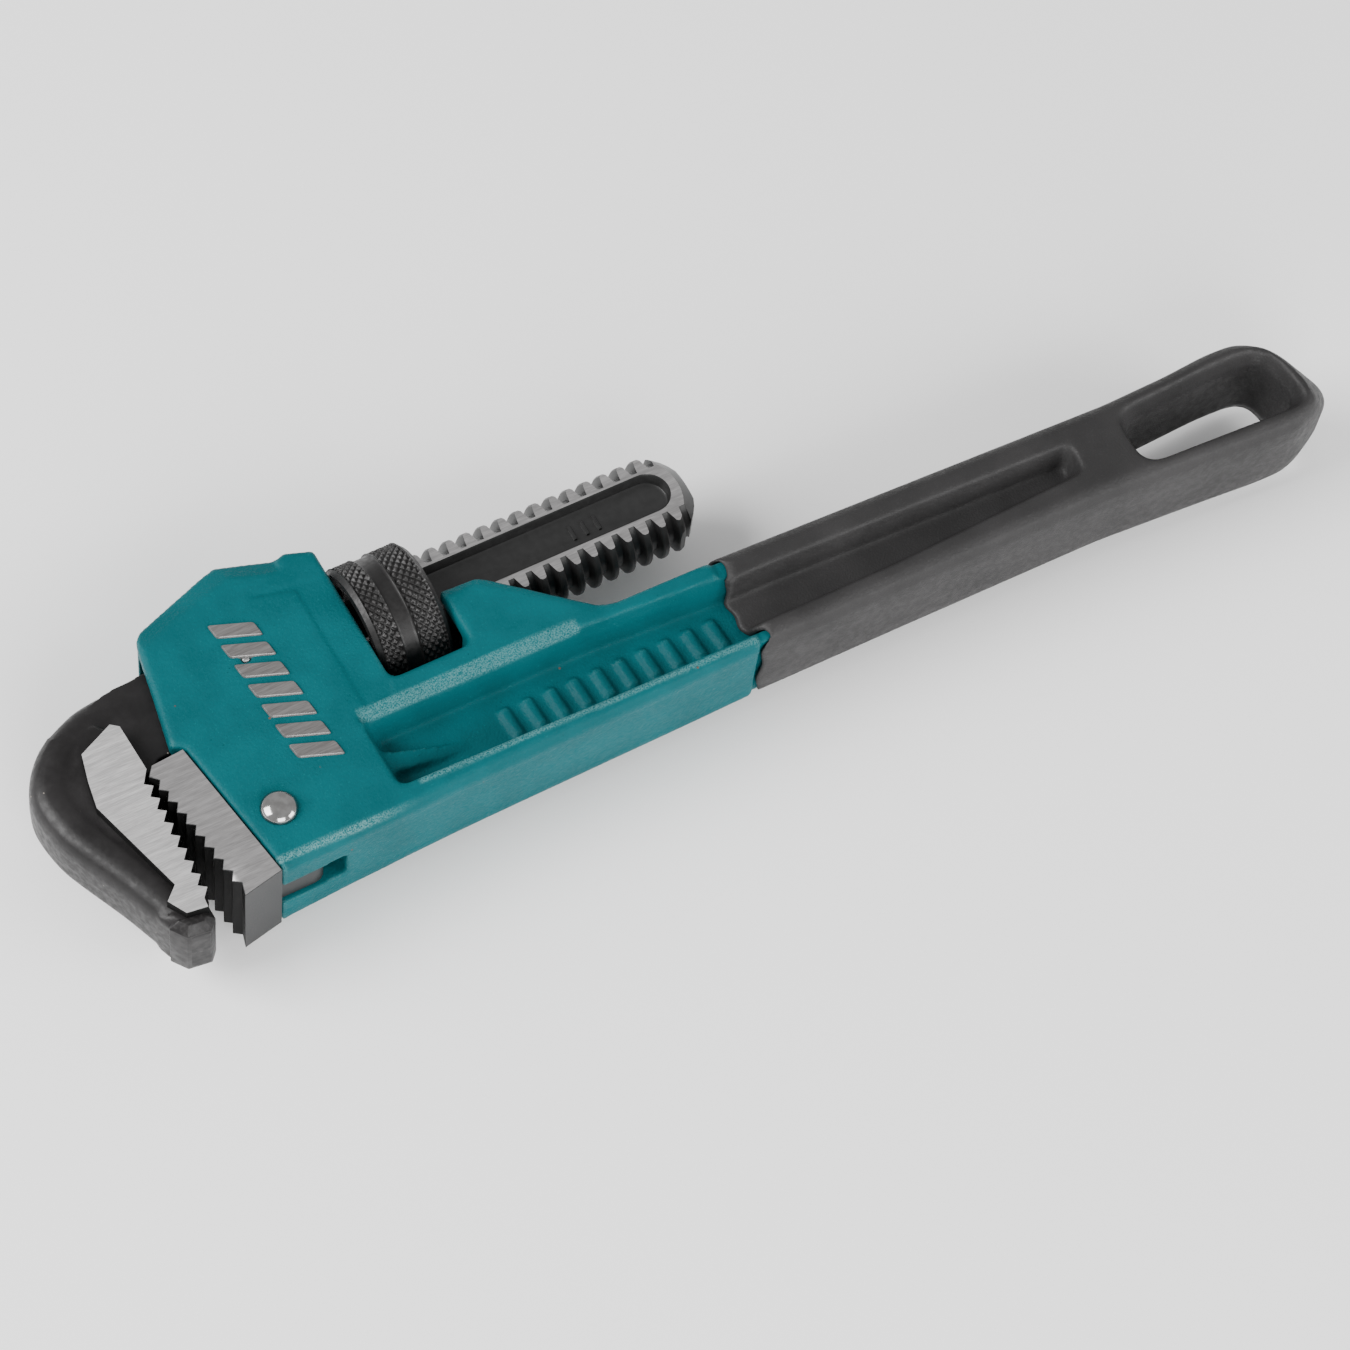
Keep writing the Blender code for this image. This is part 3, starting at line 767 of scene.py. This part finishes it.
def hook_forging():
    """The forged hook: its rim, the web inside it, the nose, the pad's bed and the neck."""
    web = [(-64.7, -14.0), (-64.9, -41.0), (-64.6, -43.2), (-66.0, -44.4), (-69.0, -43.4)]
    web += [(x + RIM_SHIFT + 0.9, y + 0.1) for x, y in reversed(HOOK_BACK[5:-1])]
    web += [(-71.5, 1.8), (-67.0, 1.8), (-62.9, -2.0), (-62.6, -12.0)]
    nose = [(-64.3, -39.0), (-64.15, -43.3), (-65.5, -45.0), (-69.3, -44.4), (-71.7, -40.8),
            (-72.7, -38.0)]
    lip = [(-63.4, -1.6), (-66.0, 0.6), (-69.4, 0.2), (-71.5, -4.0), (-73.8, -12.0),
           (-72.0, -22.0), (-69.0, -34.0), (-66.0, -36.0), (-63.8, -14.0)]
    neck = [(-42.0, -9.4), (-58.2, -9.9), (-64.2, -13.6), (-66.0, 0.0), (-66.0, 5.0),
            (-61.2, 6.6), (-54.0, 7.2), (-42.0, 7.6)]
    forging = merge("hook_forging", [
        hook_rim(), chamfered("web", web, 7.1, 5.8, 1.2), chamfered("nose", nose, 7.5, 5.9, 1.5),
        prism("lip", lip, -7.2, 7.2), prism("neck", neck, -SHANK_FLAT_Z, SHANK_FLAT_Z)])
    remesh(forging, 0.42, smooth=4)
    curve = convexity(forging)
    p = coords(forging)
    # The forging's parting line, rubbed a little
    line = smoothstep(0.25, 0.08, np.abs(p[:, 2] + 0.4)) * smoothstep(-58.0, -62.0, p[:, 0])
    attribute(forging, "rub", np.clip(smoothstep(0.12, 0.4, curve) * 0.6 + 0.5 * line, 0, 1))
    forging.data.materials.append(BLACK)
    attach(forging, "jaw", "blackened_steel", "hook_jaw")


def hook_nose():
    """The crisp, faceted end of the hook."""
    outline = [(-63.75, -40.6), (-63.7, -43.1), (-65.3, -44.9), (-69.7, -44.3),
               (-71.8, -41.4), (-70.6, -39.6)]
    nose = chamfered("hook_nose", outline, 7.65, 6.1, 1.5)
    bevel(nose, 0.3, 2, 20)
    attribute(nose, "rub", np.full(len(nose.data.vertices), 0.12))
    nose.data.materials.append(BLACK)
    shade(nose, 30)
    attach(nose, "jaw", "blackened_steel", "hook_jaw")


def hook_face():
    """The ground pad with its teeth."""
    pad = tooth_row()
    pad += [(-64.4, -42.0), (-68.4, -41.4), (-70.4, -37.8), (-67.8, -35.4), (-68.5, -32.8),
            (-73.2, -15.7), (-72.3, -10.4), (-70.9, -4.7), (-63.8, -1.4), (-62.3, -2.6),
            (-61.9, -12.6)]
    face = chamfered("hook_face", pad, PAD_Z, PAD_Z - 0.10, 0.10)
    face_materials(face, PAD_Z, PAD_STEEL, TOOTH)
    shade(face, 25)
    attach(face, "jaw", "blackened_steel", "hook_jaw")


THREAD_PITCH = 3.63
THREAD_START = -19.0
SHANK_START = -21.0
SHANK_END = 56.3
END_RADIUS = 9.9
TICKS = 3


def shank_outline(short):
    """The shank seen from the side, with its round end cut short by the distance."""
    arc = []
    for k in range(17):
        a = math.radians(-80 + 10 * k)
        arc.append((SHANK_END - END_RADIUS - short + END_RADIUS * math.cos(a),
                    END_RADIUS * math.sin(a)))
    side = 12.0
    return ([(SHANK_START, -side), (arc[0][0], -side)] + arc
            + [(arc[-1][0], side), (SHANK_START, side)])


def helix_thread():
    """A rounded right-hand thread about the x axis."""
    profile = [(-1.4, 6.9), (-1.02, 8.2), (-0.66, 9.3), (-0.34, 9.56), (0.34, 9.56),
               (0.66, 9.3), (1.02, 8.2), (1.4, 6.9)]
    per_turn = 40
    # A crest passes this place at this angle
    crest_x, crest_degrees = 5.52, 35.9
    start = math.radians(crest_degrees + 360.0 * (THREAD_START - crest_x) / THREAD_PITCH)
    steps = int(round((SHANK_END + 2.0 - THREAD_START) / THREAD_PITCH * per_turn))
    bm = bmesh.new()
    rings = []
    for k in range(steps + 1):
        x = THREAD_START + THREAD_PITCH * k / per_turn
        a = start + 2 * math.pi * k / per_turn
        rings.append([bm.verts.new(world(x + dx, r * math.cos(a), r * math.sin(a)))
                      for dx, r in profile])
    loft(bm, rings)
    return make("thread", bm)


def groove_outline():
    """The groove down the shank's side, round at its rear end."""
    groove = []
    for k in range(17):
        a = math.radians(-90 + 11.25 * k)
        groove.append((47.6 + 4.35 * math.cos(a), 0.15 + 4.35 * math.sin(a)))
    return groove + [(-46.5, 4.5), (-46.5, -4.2)]


def hook_shank():
    """The threaded bar with ground flats, a groove down each side and the plain neck."""
    z = SHANK_FLAT_Z
    core = [(-22.0, 7.6), (SHANK_END - 1.4, 7.6), (SHANK_END - 0.6, 6.8)]
    shank = revolve("hook_shank", "x", (0, 0, 0), core, 72)
    boolean(shank, helix_thread(), "UNION")
    flats = stack("flats", [(shank_outline(2.5), -z), (shank_outline(0.0), -z + 2.4),
                            (shank_outline(0.0), z - 2.4), (shank_outline(2.5), z)])
    boolean(shank, flats, "INTERSECT")
    neck = [(-46.0, -9.4), (SHANK_START, -9.3), (SHANK_START, 7.9), (-46.0, 7.9)]
    boolean(shank, prism("neck_bar", neck, -z, z), "UNION")
    groove = groove_outline()
    for sign in BOTH_SIDES:
        boolean(shank, stack("groove", [
            (inset(groove, 0.9), sign * 3.0), (inset(groove, 0.45), sign * 3.25),
            (inset(groove, 0.3), sign * 5.3), (inset(groove, -0.1), sign * 5.9)]))
        # Plain ticks on the groove's floor, where the tool's size would be marked
        for k in range(TICKS):
            x = 31.0 + 2.6 * k
            tick = rounded([(x, -1.6), (x + 0.9, -1.6), (x + 0.9, 1.9), (x, 1.9)], 0.3, 2)
            boolean(shank, stack("tick", [(tick, sign * 2.9), (inset(tick, 0.2), sign * 3.35)]),
                    "UNION")
    face_materials(shank, SHANK_FLAT_Z, RAIL_STEEL, SHANK)
    shade(shank, 30)
    attach(shank, "jaw", "blackened_steel", "hook_jaw")


def heel():
    """The toothed block, with its edges just broken."""
    jaw = copy_node("heel_jaw", "heel_block")
    bevel(jaw, 0.12, 1, 40)
    face_materials(jaw, FACE_Z, HEEL_STEEL, DARK, tooth=TOOTH)
    shade(jaw, 25)
    attach(jaw, "handle", "ground_steel", "heel_jaw")


def rivet():
    """The pin of the heel jaw, with a domed head on each side."""
    steps = 16
    dome = []
    for k in range(steps + 1):
        a = math.pi / 2 * k / steps
        dome.append((FACE_Z + 0.15 + 2.0 * math.sin(a), 3.4 * math.cos(a) + 0.02))
    under, stem = FACE_Z + 0.1, 2.3
    profile = [(-z, r) for z, r in reversed(dome)]
    profile += [(-under, 3.2), (-under, stem), (under, stem), (under, 3.2)] + dome
    pin = revolve("heel_rivet", "z", (-45.1, -30.6, 0.0), profile, 64)
    pin.data.materials.append(POLISHED)
    shade(pin, 40)
    attach(pin, "handle", "polished_steel", "heel_jaw_pin")


# ---------------------------------------------------------------- the nut
NUT_FRONT = -14.4
NUT_RADIUS = 13.23
NUT_STEPS = 528
DIAMONDS = 44
KNURL_DEPTH = 0.5


def knurled_band(start, length, steps, fade):
    """Stations along one knurled band, the knurl fading out at both of its ends."""
    out = []
    for k in range(steps + 1):
        t = k / steps
        share = min(1.0, min(t, 1 - t) * fade)
        out.append((NUT_FRONT + start + length * t, NUT_RADIUS, share))
    return out


def nut_stations():
    """The nut's outer profile from front to rear: (x, radius, share of the knurl)."""
    chamfer = [0.75 * k / 4 for k in range(5)]
    front = [(NUT_FRONT + 1.2 * c, NUT_RADIUS - 0.95 + c, 0.0) for c in chamfer]
    groove = [(NUT_FRONT + along, NUT_RADIUS - drop, 0.0) for along, drop in (
        (4.9, 0.3), (5.05, 0.42), (5.5, 0.45), (7.5, 0.45), (7.95, 0.42), (8.1, 0.3))]
    rear = [(-0.9 + 1.2 * c, NUT_RADIUS - 0.2 - c, 0.0) for c in chamfer[1:]]
    return (front + knurled_band(0.9, 3.9, 26, 14) + groove
            + knurled_band(8.2, 5.3, 34, 18) + rear)


def circle(x, radius, angle):
    """Points round the nut's axis; the radius may differ from point to point."""
    return np.stack([np.full(NUT_STEPS, x), radius * np.cos(angle), radius * np.sin(angle)],
                    axis=1)


def nut():
    """Two bands of real diamond knurl either side of a plain groove."""
    angle = np.arange(NUT_STEPS) * 2 * math.pi / NUT_STEPS
    per_mm = DIAMONDS / (2 * math.pi * NUT_RADIUS)
    points = []
    peak = []
    for x, radius, share in nut_stations():
        u = angle / (2 * math.pi) * DIAMONDS
        v = (x - NUT_FRONT) * per_mm * 1.25
        a = np.abs(((u + v) % 1.0) - 0.5) * 2
        b = np.abs(((u - v) % 1.0) - 0.5) * 2
        height = np.clip(np.minimum(a, b) * 1.25, 0, 0.92)
        r = radius - KNURL_DEPTH * share * (1 - height)
        points.append(circle(x, r, angle))
        peak.append(share * smoothstep(0.6, 0.92, height))
    for x, r in ((0.0, 10.4), (-1.6, 8.0), (NUT_FRONT + 1.6, 8.0), (NUT_FRONT, 10.4)):
        points.append(circle(x, r, angle))
        peak.append(np.zeros(NUT_STEPS))
    rows = len(points)
    faces = []
    for i in range(rows):
        low, high = i * NUT_STEPS, (i + 1) % rows * NUT_STEPS
        for k in range(NUT_STEPS):
            m = (k + 1) % NUT_STEPS
            faces.append((low + k, low + m, high + m, high + k))
    mesh = bpy.data.meshes.new("knurled_nut")
    mesh.from_pydata((np.concatenate(points) * MM + np.array(ORIGIN)).tolist(), [], faces)
    obj = add_object("knurled_nut", mesh)
    bm = bmesh.new()
    bm.from_mesh(mesh)
    bmesh.ops.recalc_face_normals(bm, faces=bm.faces)
    bm.to_mesh(mesh)
    bm.free()
    attribute(obj, "peak", np.concatenate(peak))
    obj.data.materials.append(OXIDE)
    shade(obj, 50)
    attach(obj, "nut", "black_oxide_steel", "adjusting_nut")


# ---------------------------------------------------------------- the grip
GRIP_START = 48.8
END_PULL = 5.8


def end_share(p):
    """How far the handle's end is drawn in near its two faces, from 0 to 1."""
    high = np.clip((np.abs(p[:, 2]) - 2.5) / 7.6, 0.0, 1.0) ** 1.5
    far = np.clip((p[:, 0] - 169.6) / 8.7, 0.0, 1.0) ** 1.7
    return high * far


def grip():
    """The dipped sleeve over the handle's rear."""
    sleeve = copy_node("grip_sleeve", "vinyl_sleeve")
    # The skin is filled with the handle it covers, so that it stays whole when softened
    filler = clip_x(copy_node("handle_body", "sleeve_filler"), 54.0, keep_low=False)
    set_coords(filler, coords(filler) + 0.38 * normals(filler))
    sleeve = merge("vinyl_sleeve", [sleeve, filler])
    remesh(sleeve, 0.45, smooth=8)
    p = coords(sleeve)
    # The dipped edge isn't quite straight
    edge = smoothstep(6.0, 1.0, p[:, 0] - GRIP_START)
    wave = 0.35 * np.sin(p[:, 1] * 1.1 + p[:, 2] * 0.7) + 0.25 * np.sin(p[:, 1] * 0.5 + 1.0)
    p[:, 0] += edge * wave
    p[:, 0] -= END_PULL * end_share(p)
    set_coords(sleeve, p)
    sleeve.data.materials.append(VINYL)
    shade(sleeve)
    attach(sleeve, "handle", "vinyl", "grip_sleeve")


# ---------------------------------------------------------------- the stage
def stage():
    """A plain pale floor. Its size and place are in metres."""
    size = 20.0
    mesh = bpy.data.meshes.new("floor")
    corners = [(-size, -size, 0), (size, -size, 0), (size, size, 0), (-size, size, 0)]
    mesh.from_pydata(corners, [], [(0, 1, 2, 3)])
    floor = add_object("floor", mesh)
    mat = bpy.data.materials.new("floor_paper")
    mat.use_nodes = True
    shader = mat.node_tree.nodes["Principled BSDF"]
    shader.inputs["Base Color"].default_value = (0.93, 0.93, 0.93, 1)
    shader.inputs["Roughness"].default_value = 0.9
    mesh.materials.append(mat)


def lighting():
    """A pale room and three soft lights: name, place and side in metres, power in watts."""
    room = bpy.data.worlds.new("studio")
    room.use_nodes = True
    sky = room.node_tree.nodes["Background"]
    sky.inputs["Color"].default_value = (1.0, 1.0, 1.0, 1)
    sky.inputs["Strength"].default_value = 0.68
    SCENE.world = room
    for name, place, side, power in (
        ("key", (-0.95, 0.35, 0.75), 0.8, 24.0),
        ("fill", (-0.35, -1.05, 0.55), 0.7, 14.0),
        ("side", (0.85, -0.95, 0.5), 0.7, 14.0),
    ):
        light = bpy.data.lights.new(name, "AREA")
        light.size = side
        light.energy = power
        obj = add_object(name, light)
        obj.location = place
        aim = Vector((0, 0, 0.01)) - Vector(place)
        obj.rotation_euler = aim.to_track_quat("-Z", "Y").to_euler()


# Where the camera stands, in degrees and mm, as seen from the point that it looks at
CAMERA_AIM = (34.57, -33.75, 0.0)
CAMERA_DISTANCE = 727.0
CAMERA_AROUND = -128.381
CAMERA_UP = 58.839
CAMERA_ROLL = 9.918
CAMERA_LENS = 105.48


def camera():
    data = bpy.data.cameras.new("camera")
    data.lens = CAMERA_LENS
    data.sensor_width = 36.0
    data.clip_start = 0.05
    obj = add_object("camera", data)
    around, up = math.radians(CAMERA_AROUND), math.radians(CAMERA_UP)
    back = Vector((math.cos(up) * math.cos(around), math.cos(up) * math.sin(around),
                   math.sin(up)))
    turn = back.to_track_quat("Z", "Y").to_matrix().to_4x4()
    roll = Matrix.Rotation(math.radians(CAMERA_ROLL), 4, "Z")
    place = world(*CAMERA_AIM) + back * CAMERA_DISTANCE * MM
    obj.matrix_world = Matrix.Translation(place) @ turn @ roll
    SCENE.camera = obj


camera()
stage()
lighting()
ENAMEL = enamel()
VINYL = vinyl()
BLACK = black_steel()
DARK = dark_ground()
TOOTH = plain_steel("tooth_steel", 0.005, 0.5, 0.08)
SHANK = plain_steel("shank_steel", 0.014, 0.32)
PAD_STEEL = ground_steel("ground_pad_steel", -56.0, (0.52, 0.51, 0.51), (0.74, 0.73, 0.725))
RAIL_STEEL = ground_steel("ground_rail_steel", 100.0, (0.27, 0.265, 0.265), (0.43, 0.42, 0.42))
HEEL_STEEL = ground_steel("ground_heel_steel", -56.0, (0.28, 0.272, 0.272), (0.40, 0.39, 0.39))
EMBLEM_STEEL = ground_steel("ground_emblem_steel", 60.0, (0.17, 0.16, 0.158),
                            (0.27, 0.26, 0.255))
OXIDE = oxide()
POLISHED = polished()
casting()
casting_core()
emblem()
hook_forging()
hook_nose()
hook_face()
hook_shank()
heel()
rivet()
nut()
grip()
for node, grey, rough in (
    ("shank_keeper_pin", 0.35, 0.4), ("flat_spring", 0.25, 0.35), ("coil_spring", 0.3, 0.3),
):
    target = frame["nodes"][node]
    target.material_slots[0].material = plain_steel(node + "_steel", grey, rough)
